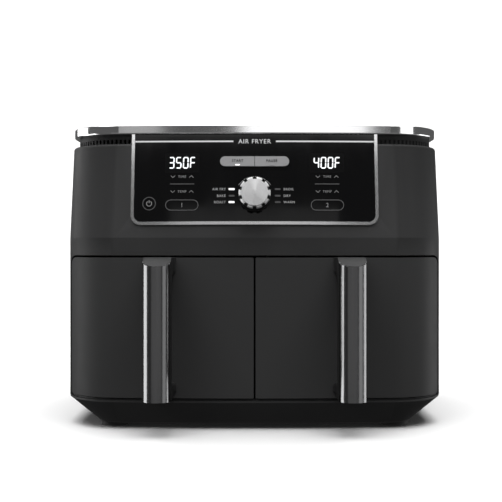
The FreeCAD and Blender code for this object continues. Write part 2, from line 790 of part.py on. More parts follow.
def make_dial():
    """Push encoder with its plunger and shaft, the skirt, the grip ring and the toothed cap."""
    tilt = Rotation(RIGHT, 90 - mm.lean_angle)
    skirt_discs = [("dial_skirt_radius", "dial_skirt_height - 1", 0.1),
                   ("dial_skirt_radius - 1", "1", mm.dial_skirt_height - 0.9)]
    turned("skirt", "dial_skirt", skirt_discs, ("dial_shaft + 3", "20", -5))
    turned("plunger", "encoder_plunger",
           [("dial_shaft + 1", "7", -13.6)], ("dial_shaft + 0.05", "8", -12.6))
    turned("shaft", "dial_shaft", [("dial_shaft", "23.5", -12.5)])
    case = box("encoder_case", "14", "14", "8")
    case.Placement = Placement(board_point(0, mm.dial_z), tilt).multiply(
        Placement(Vector(-7, -7, 0), Rotation()))
    bore = cylinder("encoder_bore", "dial_shaft + 1.05", "10")
    bore.Placement = Placement(on_panel(0, mm.dial_z, -15), tilt)
    keep(cut("encoder_cut", case, bore), "encoder_body")
    make_dial_grip(tilt)
    make_dial_crown(tilt)


def make_dial_grip(tilt):
    """Grip ring, hollow below, with a hub on the shaft."""
    body = doc.addObject("PartDesign::Body", "dial_grip_body")
    rim = sketch_on(body, "XY_Plane", "grip_sketch")
    circle_in(rim, "dial_grip_radius")
    pad(body, rim, "grip_pad", "grip_top - grip_bottom")
    hollow = sketch_on(body, "XY_Plane", "grip_hollow_sketch")
    circle_in(hollow, "dial_grip_radius - 2.4")
    circle_in(hollow, "dial_shaft + 3")
    pocket(body, hollow, "grip_hollow", "grip_top - grip_bottom - 2", reverse=True)
    bore = sketch_on(body, "XY_Plane", "grip_bore_sketch")
    circle_in(bore, "dial_shaft + 0.02")
    pocket(body, bore, "grip_bore", "grip_top - grip_bottom - 1.5", reverse=True)
    body.Placement = Placement(on_panel(0, mm.dial_z, mm.grip_bottom), tilt)
    keep(body, "dial_grip")


def cone(name, low_radius, high_radius, height):
    """Truncated cone whose sizes are expressions."""
    obj = doc.addObject("Part::Cone", name)
    return bind(obj, Radius1=low_radius, Radius2=high_radius, Height=height)


def make_dial_crown(tilt):
    """Bright cap of the dial: a shallow cone on a disc, over a ring of broad bevelled teeth."""
    crown_top = mm.grip_top + mm.crown_height
    ring = cylinder("crown_ring", "dial_crown_radius", "crown_height - crown_bevel")
    bevel = cone("crown_edge", "dial_crown_radius", "dial_crown_radius - crown_bevel", "crown_bevel")
    disc = cylinder("crown_disc", "dial_face_radius", "dial_reach - grip_top - crown_height - dial_dish")
    dish = cone("crown_dish", "dial_face_radius", "1.5", "dial_dish")
    starts = (mm.grip_top, crown_top - mm.crown_bevel, crown_top, mm.dial_reach - mm.dial_dish)
    for piece, start in zip((ring, bevel, disc, dish), starts):
        piece.Placement = Placement(on_panel(0, mm.dial_z, start), tilt)
    notches = []
    teeth = 10
    for index in range(teeth):
        notch = box(f"crown_notch_{index}", "4", "crown_notch", "crown_height + 1")
        corner = Vector(mm.dial_face_radius, -mm.crown_notch / 2, -0.5)
        turn = Placement(Vector(), Rotation(UP, (index + 0.5) * 360 / teeth))
        seat = Placement(on_panel(0, mm.dial_z, mm.grip_top), tilt)
        notch.Placement = seat.multiply(turn).multiply(Placement(corner, Rotation()))
        notches.append(notch)
    crown = cut("crown_teeth", fuse("crown_blank", [ring, bevel]), fuse("crown_notches", notches))
    keep(fuse("dial_cap", [crown, disc, dish]), "dial_face")


def make_keys():
    """Two keys that share one pill, each with a post that reaches its switch."""
    whole = pill(mm.key_pill_width, mm.key_pill_height, mm.key_proud + 6, 0, mm.key_z, mm.key_proud)
    for side_name, side in SIDES.items():
        half = block((0, -160, 250), (60, -60, 330))
        half.translate(Vector(mm.key_gap / 2 if side > 0 else -60 - mm.key_gap / 2, 0, 0))
        post = Part.makeBox(6, 6, 9, Vector(-3, -3, 0))
        post = to_panel(post, side * mm.key_pill_width / 4, mm.key_z, -14.4)
        shaped(f"key_{side_name}", whole.common(half).fuse(post).removeSplitter())


# ---------------------------------------------------------------- drawers and handles
def span(side, low, high):
    """Range in X on one side of the machine, lowest first."""
    return (low, high) if side > 0 else (-high, -low)


def drawer_plate(side, inset, low_y, high_y):
    """Upright plate with the drawer front's face outline, moved inwards by inset."""
    low_x, high_x = span(side, mm.drawer_inner_x + inset, mm.drawer_outer_x - inset)
    inner, outer = max(0.4, 1.5 - inset), max(0.5, mm.drawer_corner - inset)
    foot = max(0.5, 3.0 - inset)
    radii = (inner, foot, outer, inner) if side > 0 else (foot, inner, inner, outer)
    return rounded_plate(low_x, high_x, mm.drawer_bottom + inset, mm.drawer_top - inset,
                         low_y, high_y, radii)


def make_drawer_front(side_name, side):
    """Hollow drawer front whose face follows the casing round the corner, and its back plate."""
    rear = mm.front_y + mm.drawer_depth
    bottom, top = mm.housing_bottom, mm.crease_z
    front = drawer_plate(side, 0, mm.front_y - 5, rear).common(casing_solid(bottom, top))
    hollow = drawer_plate(side, mm.drawer_wall, mm.front_y - 5, rear + 5)
    hollow = hollow.common(casing_solid(bottom - 1, top + 1, mm.drawer_wall))
    front = front.cut(hollow)
    back = drawer_plate(side, mm.drawer_wall + 0.1, rear - mm.drawer_back_thickness, rear)
    back = back.common(casing_solid(bottom - 1, top + 1, mm.drawer_wall + 0.1))
    for seat, axis in handle_screw_seats(side):
        front = front.cut(Part.makeCylinder(mm.screw_radius + 0.05, 12, seat + BACK * 2, axis))
    shaped(f"drawer_front_{side_name}", front)
    shaped(f"drawer_back_{side_name}", back)


def handle_screw_seats(side):
    """Seats of the two screws that hold a handle, inside the drawer front."""
    seat_y = mm.front_y + mm.drawer_wall + 2.8
    heights = ((mm.handle_top + mm.handle_arm_top) / 2, (mm.handle_bottom + mm.handle_arm_bottom) / 2)
    return [(Vector(side * mm.handle_x, seat_y, z), FRONT) for z in heights]


def half_ellipse(side, width, depth, bottom, top):
    """Upright bar with a half-elliptic front, flat at the back of the cover."""
    y = mm.front_y - mm.handle_core_reach
    ellipse = Part.Ellipse(Vector(side * mm.handle_x, y, bottom), width / 2, depth)
    curve = Part.Arc(ellipse, math.pi, 2 * math.pi).toShape()
    ends = [vertex.Point for vertex in curve.Vertexes]
    closing = Part.LineSegment(ends[1], ends[0]).toShape()
    return Part.Face(Part.Wire([curve, closing])).extrude(UP * (top - bottom))


def above_crown():
    """Wedge above the sloping top of the handles."""
    rear_y, front_y = mm.front_y - mm.handle_gap - 4, mm.front_y - mm.handle_reach
    corners = [Vector(-250, rear_y, mm.handle_top), Vector(-250, front_y - 4, mm.handle_crown - 1.4),
               Vector(-250, front_y - 4, 260), Vector(-250, rear_y, 260)]
    return Part.Face(Part.makePolygon(corners + corners[:1])).extrude(RIGHT * 500)


def handle_side_profile():
    """Side view of the handle's core: two arms that blend into an upright bar."""
    face, back = mm.front_y + 8, mm.front_y - mm.handle_gap
    front = mm.front_y - mm.handle_core_reach
    upper, lower = mm.handle_arm_top, mm.handle_arm_bottom
    blend = mm.handle_blend
    bulge = blend * (1 - math.sqrt(0.5))

    def at(y, z):
        return Vector(0, y, z)

    return [
        Part.LineSegment(at(face, lower), at(face, mm.handle_bottom)).toShape(),
        Part.LineSegment(at(face, mm.handle_bottom), at(front, mm.handle_bottom)).toShape(),
        Part.LineSegment(at(front, mm.handle_bottom), at(front, mm.handle_top)).toShape(),
        Part.LineSegment(at(front, mm.handle_top), at(face, mm.handle_top)).toShape(),
        Part.LineSegment(at(face, mm.handle_top), at(face, upper)).toShape(),
        Part.LineSegment(at(face, upper), at(back + blend, upper)).toShape(),
        arc(at(back + blend, upper), at(back + bulge, upper - bulge), at(back, upper - blend)),
        Part.LineSegment(at(back, upper - blend), at(back, lower + blend)).toShape(),
        arc(at(back, lower + blend), at(back + bulge, lower + bulge), at(back + blend, lower)),
        Part.LineSegment(at(back + blend, lower), at(face, lower)).toShape(),
    ]


def handle_feet(side):
    """Feet of the two arms, which flare towards the drawer's face."""
    reach = mm.handle_width / 2
    blend, middle = mm.handle_blend, side * mm.handle_x
    root_y = mm.front_y + 8
    tip_y = mm.front_y - mm.handle_gap + blend
    feet = []
    for low, high, flare, radii in (
            (mm.handle_arm_top, mm.handle_top, mm.handle_flare_top, (5, 5, 0.5, 0.5)),
            (mm.handle_bottom - 0.5, mm.handle_arm_bottom, mm.handle_flare_bottom, (6, 6, 6, 6))):
        spans = [(root_y, reach + flare), (tip_y, reach)]
        wires = [rounded_wire(middle - half, middle + half, low, high, y, radii) for y, half in spans]
        feet.append(Part.makeLoft(wires, True, True))
    return feet


def make_handle(side_name, side):
    """Plastic core on two arms, with a bright half-elliptic cover, and its screws."""
    profile = Part.Face(Part.Wire(handle_side_profile()))
    core = profile.extrude(RIGHT * mm.handle_width)
    core.translate(RIGHT * (side * mm.handle_x - mm.handle_width / 2))
    edges = [edge for edge in core.Edges
             if abs(edge.CenterOfMass.y - (mm.front_y - mm.handle_gap)) < 0.1 and edge.Length > 60]
    core = core.makeFillet(2.0, edges)
    for foot in handle_feet(side):
        core = core.fuse(foot)
    depth = mm.handle_reach - mm.handle_core_reach
    wall = mm.handle_cover_wall
    cover = half_ellipse(side, mm.handle_width, depth, mm.handle_bottom, mm.handle_top)
    cover = cover.cut(half_ellipse(side, mm.handle_width - 2 * wall, depth - wall,
                                   mm.handle_bottom + wall, mm.handle_top + 5))
    filling = half_ellipse(side, mm.handle_width - 2 * wall - 0.1, depth - wall - 0.05,
                           mm.handle_bottom + wall + 0.05, mm.handle_top)
    core = core.fuse(filling).removeSplitter().cut(above_crown())
    core = core.cut(casing_solid(mm.housing_bottom, mm.crease_z))
    screws = []
    for index, (seat, axis) in enumerate(handle_screw_seats(side)):
        core = core.cut(Part.makeCylinder(mm.screw_radius + 0.05, 16, seat, axis))
        head = cylinder(f"handle_head_{side_name}_{index}", "screw_head", "head_height",
                        seat - axis * mm.head_height, axis)
        shank = cylinder(f"handle_shank_{side_name}_{index}", "screw_radius", "2 * shank_length",
                         seat, axis)
        screws.append(fuse(f"handle_screw_{side_name}_{index}", [head, shank]))
    shaped(f"handle_core_{side_name}", core)
    shaped(f"handle_cover_{side_name}", cover.cut(above_crown()))
    keep(group(f"handle_screw_group_{side_name}", screws), f"handle_screws_{side_name}")


def rounded_block(low, high, corner, floor_round=0.0):
    """Block with round upright corners and, if asked, a round bottom edge."""
    solid = block(low, high)
    upright = [edge for edge in solid.Edges
               if abs(edge.Vertexes[0].Z - edge.Vertexes[-1].Z) > 0.1]
    solid = solid.makeFillet(corner, upright)
    if floor_round:
        floor = [edge for edge in solid.Edges
                 if all(abs(vertex.Z - low[2]) < 0.01 for vertex in edge.Vertexes)]
        solid = solid.makeFillet(floor_round, floor)
    return solid


def make_basket(side_name, side):
    """Deep basket with a running flange, behind the drawer front."""
    front = mm.front_y + mm.drawer_depth
    rear = front + mm.basket_length
    low_x, high_x = side * mm.zone_x - mm.basket_half, side * mm.zone_x + mm.basket_half
    wall = mm.basket_wall
    outer = rounded_block((low_x, front, mm.basket_bottom), (high_x, rear, mm.basket_top),
                          mm.basket_corner, mm.basket_floor_round)
    flange = rounded_block((low_x - 4, front, mm.basket_top - 2), (high_x + 4, rear, mm.basket_top),
                           mm.basket_corner)
    inner = rounded_block((low_x + wall, front + wall, mm.basket_bottom + wall),
                          (high_x - wall, rear - wall, mm.basket_top + 5),
                          mm.basket_corner - wall, mm.basket_floor_round - wall)
    shaped(f"basket_{side_name}", outer.fuse(flange).cut(inner).removeSplitter())


def make_crisper(side_name, side):
    """Slotted plate that lies low in the basket on four silicone bumpers."""
    gap = mm.basket_wall + mm.crisper_gap / 2
    front = mm.front_y + mm.drawer_depth + gap
    rear = front + mm.basket_length - 2 * gap
    low_x = side * mm.zone_x - mm.basket_half + gap
    high_x = side * mm.zone_x + mm.basket_half - gap
    plate = rounded_block((low_x, front, mm.crisper_z),
                          (high_x, rear, mm.crisper_z + mm.crisper_thickness),
                          mm.basket_corner - gap)
    slots = []
    rows, columns = 5, 9
    for row_index in range(rows):
        for column in range(columns):
            x = low_x + 24 + column * (high_x - low_x - 48) / (columns - 1)
            y = front + 30 + row_index * (rear - front - 60) / (rows - 1)
            slots.append(block((x - 3, y - 15, mm.crisper_z - 1), (x + 3, y + 15, mm.crisper_z + 5)))
    plate = plate.cut(slots)
    floor = mm.basket_bottom + mm.basket_wall + 0.1
    bumpers = []
    for index, (x, y) in enumerate([(x, y) for x in (low_x + 15, high_x - 15)
                                    for y in (front + 15, rear - 15)]):
        bumper = cylinder(f"bumper_{side_name}_{index}", "bumper_radius", "1", (x, y, floor))
        bind(bumper, Height="crisper_z - basket_bottom - basket_wall - 0.1")
        bumpers.append(bumper)
    shaped(f"crisper_plate_{side_name}", plate)
    keep(group(f"bumper_group_{side_name}", bumpers), f"crisper_bumpers_{side_name}")


# ---------------------------------------------------------------- cooking zones
def fan_centre(side, z):
    """Point on a zone's fan axis."""
    return Vector(side * mm.zone_x, mm.fan_y, z)


def terminal_places(side):
    """Where the two legs of a zone's heater rise through the deck."""
    offset = 14.0
    y = mm.fan_y + math.sqrt(mm.heater_radius ** 2 - offset ** 2)
    return [Vector(side * mm.zone_x + shift, y, mm.heater_z) for shift in (-offset, offset)]


def make_front_frame():
    """Upright frame behind the drawer fronts, with an opening for each basket."""
    top = 200.0
    frame = block((-210, mm.frame_y, mm.housing_bottom + mm.base_flange + 0.1),
                  (210, mm.frame_y + mm.frame_thickness, top))
    frame = frame.common(casing_solid(mm.housing_bottom, mm.crease_z, mm.wall + 0.1))
    for side in SIDES.values():
        middle = side * mm.zone_x
        opening = rounded_plate(middle - mm.basket_half - 5.5, middle + mm.basket_half + 5.5,
                                mm.basket_bottom - 3, mm.frame_opening_top, mm.frame_y - 5,
                                mm.frame_y + mm.frame_thickness + 5, (20, 20, 4, 4))
        frame = frame.cut(opening)
    shaped("front_frame", frame)


def make_liner(side_name, side):
    """Spot-welded steel cavity: tub open to the front, two rails, and a roof with a drum.

    The drum holds the heater and the fan.
    """
    middle, wall = side * mm.zone_x, mm.liner_wall
    front = mm.frame_y + mm.frame_thickness
    half, rear = mm.liner_half, mm.liner_rear_y
    roof_z = mm.liner_top - wall
    tub = block((middle - half, front, mm.liner_bottom), (middle + half, rear, roof_z))
    tub = tub.cut(block((middle - half + wall, front - 1, mm.liner_bottom + wall),
                        (middle + half - wall, rear - wall, mm.liner_top)))
    probe = probe_base(side)
    tub = tub.cut(Part.makeCylinder(mm.probe_radius + 0.05, 20, probe - BACK * 15, BACK))
    roof = block((middle - half, front, roof_z), (middle + half, rear, mm.liner_top))
    drum = Part.makeCylinder(mm.drum_radius, mm.drum_top - roof_z, fan_centre(side, roof_z))
    bore = Part.makeCylinder(mm.drum_radius - wall, mm.drum_top - wall - roof_z,
                             fan_centre(side, roof_z))
    roof = roof.fuse(drum).cut(bore)
    roof = roof.cut(Part.makeCylinder(mm.fan_shaft + 2, 20, fan_centre(side, mm.drum_top - 10)))
    for leg in terminal_places(side):
        roof = roof.cut(Part.makeCylinder(mm.heater_tube + 0.05, 60, leg))
    rail_top = mm.basket_top - 2 - 0.3
    rails = []
    for hand in (-1, 1):
        inner = middle + hand * (mm.basket_half + 0.6)
        outer = middle + hand * (half - wall)
        rails.append(block((min(inner, outer), front, rail_top - 4),
                           (max(inner, outer), rear - 10, rail_top)))
    shaped(f"liner_{side_name}", Part.makeCompound([tub, roof.removeSplitter()] + rails))


def probe_base(side):
    """Where a zone's temperature probe enters the liner's rear wall."""
    return Vector(side * (mm.zone_x + 40), mm.liner_rear_y, mm.heater_z - 4)


def make_probes():
    """One temperature probe per zone, with a collar against the liner."""
    probes = []
    for side_name, side in SIDES.items():
        base = probe_base(side)
        stem = cylinder(f"probe_stem_{side_name}", "probe_radius", "probe_length",
                        base - BACK * (mm.probe_length - 8), BACK)
        collar = cylinder(f"probe_collar_{side_name}", "2 * probe_radius", "5", base, BACK)
        probes.append(fuse(f"probe_{side_name}", [stem, collar]))
    keep(group("probe_group", probes), "temperature_probes")


def make_heater(side_name, side):
    """Tubular heater: a ring with its two ends turned up through the drum."""
    legs = terminal_places(side)
    centre = fan_centre(side, mm.heater_z)
    start = math.degrees(math.atan2(legs[1].y - centre.y, legs[1].x - centre.x))
    gap = 2 * (90 - start)
    ring = Part.makeTorus(mm.heater_radius, mm.heater_tube, Vector(0, 0, 0), UP, 0, 360, 360 - gap)
    ring.Placement = Placement(centre, Rotation(UP, 90 + gap / 2))
    heater = ring
    for leg in legs:
        heater = heater.fuse(Part.makeSphere(mm.heater_tube, leg))
        heater = heater.fuse(Part.makeCylinder(mm.heater_tube, mm.leg_length, leg))
    shaped(f"heater_{side_name}", heater.removeSplitter())


def make_fan_guard(side_name, side):
    """Round wire guard under the heater, hung from the liner on four posts."""
    centre = fan_centre(side, mm.guard_z)
    reach = mm.drum_radius + 4
    wire = mm.guard_wire
    guard = None
    for radius in (18.0, 35.0, 52.0, 69.0):
        ring = Part.makeTorus(radius, wire, centre, UP)
        guard = guard.fuse(ring) if guard else ring
    for axis in (RIGHT, BACK):
        over = centre + UP * (wire / 2)
        guard = guard.fuse(Part.makeCylinder(wire, 2 * reach, over - axis * reach, axis))
        for hand in (-1, 1):
            foot = centre + axis * (hand * (reach - 2 * wire))
            height = mm.liner_top - mm.liner_wall - mm.guard_z
            guard = guard.fuse(Part.makeCylinder(1.5 * wire, height, foot))
    shaped(f"fan_guard_{side_name}", guard.removeSplitter())


def make_fan(label, side, radius, height, start, blades):
    """Radial fan: hub, back plate and straight blades on the motor shaft."""
    body = doc.addObject("PartDesign::Body", f"{label}_body")
    hub = sketch_on(body, "XY_Plane", f"{label}_hub_sketch")
    circle_in(hub, "fan_hub")
    pad(body, hub, f"{label}_hub", height)
    plate = sketch_on(body, "XY_Plane", f"{label}_plate_sketch", f"{height} - fan_plate")
    circle_in(plate, radius)
    pad(body, plate, f"{label}_plate", "fan_plate")
    blade = sketch_on(body, "XY_Plane", f"{label}_blade_sketch")
    rectangle_in(blade, "fan_hub + 4", f"{radius} - 1", "- fan_blade / 2", "fan_blade / 2")
    vane = pad(body, blade, f"{label}_blade", f"{height} - fan_plate / 2")
    doc.recompute()
    polar(body, vane, f"{label}_blades", blades)
    bore = sketch_on(body, "XY_Plane", f"{label}_bore_sketch")
    circle_in(bore, "fan_shaft + 0.02")
    pocket(body, bore, f"{label}_bore", f"2 * {height}", reverse=True)
    body.Tip = body.Group[-1]
    body.Placement = Placement(fan_centre(side, start), Rotation())
    keep(body, label)


def make_motor(side_name, side):
    """Fan motor on its foot flange, bored for the shaft, and the shaft itself."""
    base = mm.drum_top + mm.deck_thickness
    foot = cylinder(f"motor_foot_{side_name}", "motor_radius + 4", "3", fan_centre(side, base))
    can = cylinder(f"motor_can_{side_name}", "motor_radius", "motor_height - 8", fan_centre(side, base))
    bell = cylinder(f"motor_bell_{side_name}", "motor_radius / 3", "motor_height", fan_centre(side, base))
    bore = cylinder(f"motor_bore_{side_name}", "fan_shaft + 0.05", "2 * motor_height",
                    fan_centre(side, base - 5))
    motor = cut(f"motor_cut_{side_name}", fuse(f"motor_fuse_{side_name}", [foot, can, bell]), bore)
    keep(motor, f"motor_{side_name}")
    shaft = cylinder(f"motor_shaft_{side_name}", "fan_shaft", "1", fan_centre(side, mm.hot_fan_z - 2))
    bind(shaft, Height="cooling_fan_z + cooling_fan_height - hot_fan_z + 4")
    keep(shaft, f"fan_shaft_{side_name}")


def make_deck():
    """Steel deck over both cavities, with holes for the shafts and heater legs."""
    deck = doc.addObject("PartDesign::Body", "deck_body")
    sketch = sketch_on(deck, "XY_Plane", "deck_sketch", "drum_top")
    rectangle_in(sketch, "- deck_half", "deck_half", "- 70", "liner_rear_y + 4")
    pad(deck, sketch, "deck_pad", "deck_thickness")
    holes = []
    for side_name, side in SIDES.items():
        holes.append(cylinder(f"deck_shaft_hole_{side_name}", "fan_shaft + 2", "20",
                              fan_centre(side, mm.drum_top - 5)))
        for index, leg in enumerate(terminal_places(side)):
            holes.append(cylinder(f"deck_leg_hole_{side_name}_{index}", "heater_tube + 0.05", "60", leg))
    keep(cut("deck_cut", deck, fuse("deck_holes", holes)), "chassis_deck")


def make_cutouts():
    """One thermal cut-out per zone, on the deck beside the motor."""
    cutouts = []
    deck_top = mm.drum_top + mm.deck_thickness
    for side_name, side in SIDES.items():
        base = fan_centre(side, deck_top) - BACK * 56
        disc = cylinder(f"cutout_disc_{side_name}", "cutout_radius", "6", base)
        ear = box(f"cutout_ear_{side_name}", "4 * cutout_radius", "8", "1.5",
                  base - RIGHT * 2 * mm.cutout_radius - BACK * 4)
        cutouts.append(fuse(f"cutout_{side_name}", [disc, ear]))
    keep(group("cutout_group", cutouts), "thermal_cutouts")


def make_power_board():
    """Power board on four posts, with transformer, relays and capacitors."""
    deck_top = mm.drum_top + mm.deck_thickness
    board_z = deck_top + 7
    rear = 4.0
    board = box("power_sheet", "2 * power_half", "power_length", "board_thickness",
                (-mm.power_half, rear, board_z))
    top = board_z + mm.board_thickness
    pieces = [board]
    for index, (x, y) in enumerate([(x, y) for x in (-mm.power_half + 5, mm.power_half - 5)
                                    for y in (rear + 5, rear + mm.power_length - 5)]):
        pieces.append(cylinder(f"power_post_{index}", "3", "7", (x, y, deck_top)))
    pieces.append(box("transformer", "34", "30", "26", (-36, rear + 12, top)))
    for index in range(3):
        pieces.append(box(f"relay_{index}", "19", "15.5", "15.8", (-37 + 26 * index, rear + 82, top)))
    for index in range(2):
        pieces.append(cylinder(f"capacitor_{index}", "8", "25", (22, rear + 24 + 22 * index, top)))
    keep(fuse("power_fuse", pieces), "power_board")


def make_drawer_switches():
    """One switch per drawer, between the two cavities behind the front frame."""
    switches = []
    for side_name, side in SIDES.items():
        low_x = 1.0 if side > 0 else -7.0
        rear_of_frame = mm.frame_y + mm.frame_thickness
        switches.append(box(f"switch_{side_name}", "6", "11", "20", (low_x, rear_of_frame, 176)))
    keep(group("switch_group", switches), "drawer_switches")


# ---------------------------------------------------------------- assembly
shaped("outer_housing", make_outer_housing())
shaped("vent_ring", make_vent_ring())
shaped("top_rim", make_top_rim())
shaped("top_cover", make_top_cover())
shaped("base_pan", make_base_pan())
make_feet()
make_case_screws()
make_rear_cover()
make_cord_gland()
make_panel()
make_indicator_lamps()
make_displays()
make_control_board()
make_dial()
make_keys()
make_front_frame()
make_probes()
make_deck()
make_cutouts()
make_power_board()
make_drawer_switches()
for zone, hand in SIDES.items():
    make_drawer_front(zone, hand)
    make_handle(zone, hand)
    make_basket(zone, hand)
    make_crisper(zone, hand)
    make_liner(zone, hand)
    make_heater(zone, hand)
    make_fan_guard(zone, hand)
    make_motor(zone, hand)
    make_fan(f"hot_fan_{zone}", hand, "hot_fan_radius", "hot_fan_height", mm.hot_fan_z, 10)
    make_fan(f"cooling_fan_{zone}", hand, "cooling_fan_radius", "cooling_fan_height",
             mm.cooling_fan_z, 14)

doc.recompute()
for obj in doc.Objects:
    bad = {"Invalid", "Error"} & set(obj.State)
    if bad:
        raise RuntimeError(f"{obj.Name}: {bad}")
os.makedirs("parts", exist_ok=True)
for obj in sub_parts:
    if obj.Shape.isNull() or not obj.Shape.isValid():
        raise RuntimeError(f"{obj.Label}: shape is missing or not valid")
    obj.Shape.exportStep(f"parts/{obj.Label}.step")
print(f"{len(sub_parts)} sub-parts written")
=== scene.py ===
"""Looks for the dual-zone air fryer: materials for every CAD node, panel printing, studio and camera."""

import math

import bmesh
import bpy
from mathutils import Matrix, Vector


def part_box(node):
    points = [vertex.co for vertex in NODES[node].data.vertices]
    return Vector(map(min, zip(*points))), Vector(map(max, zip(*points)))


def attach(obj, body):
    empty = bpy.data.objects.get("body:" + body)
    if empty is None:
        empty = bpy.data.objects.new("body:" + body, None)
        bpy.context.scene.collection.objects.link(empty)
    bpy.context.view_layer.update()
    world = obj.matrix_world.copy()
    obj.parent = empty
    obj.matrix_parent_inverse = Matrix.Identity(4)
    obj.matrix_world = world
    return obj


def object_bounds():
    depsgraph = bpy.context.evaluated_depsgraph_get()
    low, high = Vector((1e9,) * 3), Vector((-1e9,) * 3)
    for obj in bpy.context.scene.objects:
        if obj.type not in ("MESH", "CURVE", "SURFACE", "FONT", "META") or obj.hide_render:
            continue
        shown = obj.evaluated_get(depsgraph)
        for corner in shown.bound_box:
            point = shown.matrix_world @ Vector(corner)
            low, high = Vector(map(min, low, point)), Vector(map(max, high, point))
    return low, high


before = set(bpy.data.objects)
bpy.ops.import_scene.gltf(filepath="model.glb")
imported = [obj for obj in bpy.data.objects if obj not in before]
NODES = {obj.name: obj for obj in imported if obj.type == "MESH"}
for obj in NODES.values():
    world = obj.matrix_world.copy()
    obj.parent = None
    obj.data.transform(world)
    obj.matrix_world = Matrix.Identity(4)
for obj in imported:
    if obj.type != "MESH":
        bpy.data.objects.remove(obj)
cad_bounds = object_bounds()
SIDES = {"left": -1, "right": 1}
MM = 0.001


# ---------------------------------------------------------------- material helpers
def new_material(name):
    """Material with an empty node tree around one Principled shader."""
    material = bpy.data.materials.new(name)
    material.use_nodes = True
    tree = material.node_tree
    shader = tree.nodes["Principled BSDF"]
    coordinates = tree.nodes.new("ShaderNodeTexCoord")
    return material, tree, shader, coordinates.outputs["Object"]


def noise(tree, vector, scale, detail=2.0, roughness=0.5, stretch=None):
    """Noise value at a scale in cycles per metre, optionally stretched along axes."""
    if stretch:
        mapping = tree.nodes.new("ShaderNodeMapping")
        mapping.inputs["Scale"].default_value = stretch
        tree.links.new(vector, mapping.inputs["Vector"])
        vector = mapping.outputs["Vector"]
    texture = tree.nodes.new("ShaderNodeTexNoise")
    texture.inputs["Scale"].default_value = scale
    texture.inputs["Detail"].default_value = detail
    texture.inputs["Roughness"].default_value = roughness
    tree.links.new(vector, texture.inputs["Vector"])
    return texture.outputs["Fac"]


def spread(tree, value, low, high, start=0.3, end=0.7):
    """Map a 0..1 value to a range."""
    node = tree.nodes.new("ShaderNodeMapRange")
    for socket, number in zip(("From Min", "From Max", "To Min", "To Max"), (start, end, low, high)):
        node.inputs[socket].default_value = number
    tree.links.new(value, node.inputs["Value"])
    return node.outputs["Result"]


def blend_colour(tree, factor, first, second):
    """Mix two colours by a value."""
    node = tree.nodes.new("ShaderNodeMix")
    node.data_type = "RGBA"
    node.inputs["A"].default_value = (*first, 1.0)
    node.inputs["B"].default_value = (*second, 1.0)
    tree.links.new(factor, node.inputs["Factor"])
    return node.outputs["Result"]


def bump(tree, shader, height, strength, distance):
    """Bump the shader's surface by a height value."""
    node = tree.nodes.new("ShaderNodeBump")
    node.inputs["Strength"].default_value = strength
    node.inputs["Distance"].default_value = distance
    tree.links.new(height, node.inputs["Height"])
    tree.links.new(node.outputs["Normal"], shader.inputs["Normal"])


def convex_edge_mask(tree):
    """Value that rises along sharp convex edges, from the surface's own curvature."""
    geometry = tree.nodes.new("ShaderNodeNewGeometry")
    return spread(tree, geometry.outputs["Pointiness"], 0.0, 1.0, start=0.52, end=0.60)


def grained(name, colour, lighter, rough, grain, depth, specular=0.5, edge_gain=1.6):
    """Satin or matt surface: fine grain, slow tone drift, uneven roughness and paler sharp convex edges.

    Grain is in cycles per metre and depth in metres. The last argument multiplies the lighter colour at
    sharp convex edges.
    """
    material, tree, shader, position = new_material(name)
    drift = noise(tree, position, 14.0, 3.0)
    tone = blend_colour(tree, spread(tree, drift, 0.0, 1.0), colour, lighter)
    edge_mix = tree.nodes.new("ShaderNodeMix")
    edge_mix.data_type = "RGBA"
    tree.links.new(convex_edge_mask(tree), edge_mix.inputs["Factor"])
    tree.links.new(tone, edge_mix.inputs["A"])
    edge_mix.inputs["B"].default_value = (*[min(1.0, edge_gain * part) for part in lighter], 1.0)
    tree.links.new(edge_mix.outputs["Result"], shader.inputs["Base Color"])
    fine = noise(tree, position, grain, 2.0)
    tree.links.new(spread(tree, noise(tree, position, 90.0, 4.0), rough - 0.03, rough + 0.04),
                   shader.inputs["Roughness"])
    bump(tree, shader, fine, 0.35, depth)
    shader.inputs["Specular IOR Level"].default_value = specular
    return material


def ink(name, colour, lighter):
    """Printing ink, with no paler edges."""
    return grained(name, colour, lighter, rough=0.45, grain=900.0, depth=0.02 * MM, edge_gain=1.0)


def polished(name, colour, rough, smear=0.03, metallic=1.0, ripple=0.02, specular=0.5):
    """Polished metal or glass with faint wiping marks."""
    material, tree, shader, position = new_material(name)
    smudge = noise(tree, position, 40.0, 5.0, 0.6, (1.0, 1.0, 0.3))
    tree.links.new(spread(tree, smudge, rough, rough + smear, 0.35, 0.8), shader.inputs["Roughness"])
    paler = [min(1.0, part * 1.08) for part in colour]
    tree.links.new(blend_colour(tree, noise(tree, position, 9.0), colour, paler),
                   shader.inputs["Base Color"])
    bump(tree, shader, noise(tree, position, 120.0, 2.0), ripple, 0.1 * MM)
    shader.inputs["Metallic"].default_value = metallic
    shader.inputs["Specular IOR Level"].default_value = specular
    return material


def brushed(name, colour, rough, stretch, strength=0.15, lines=900.0):
    """Sheet metal with a straight brushed or rolled grain along one axis."""
    material, tree, shader, position = new_material(name)
    grain = noise(tree, position, lines, 3.0, 0.6, stretch)
    tree.links.new(spread(tree, grain, rough - 0.08, rough + 0.1), shader.inputs["Roughness"])
    darker = [part * 0.8 for part in colour]
    tree.links.new(blend_colour(tree, grain, darker, colour), shader.inputs["Base Color"])
    bump(tree, shader, grain, strength, 0.1 * MM)
    shader.inputs["Metallic"].default_value = 1.0
    return material


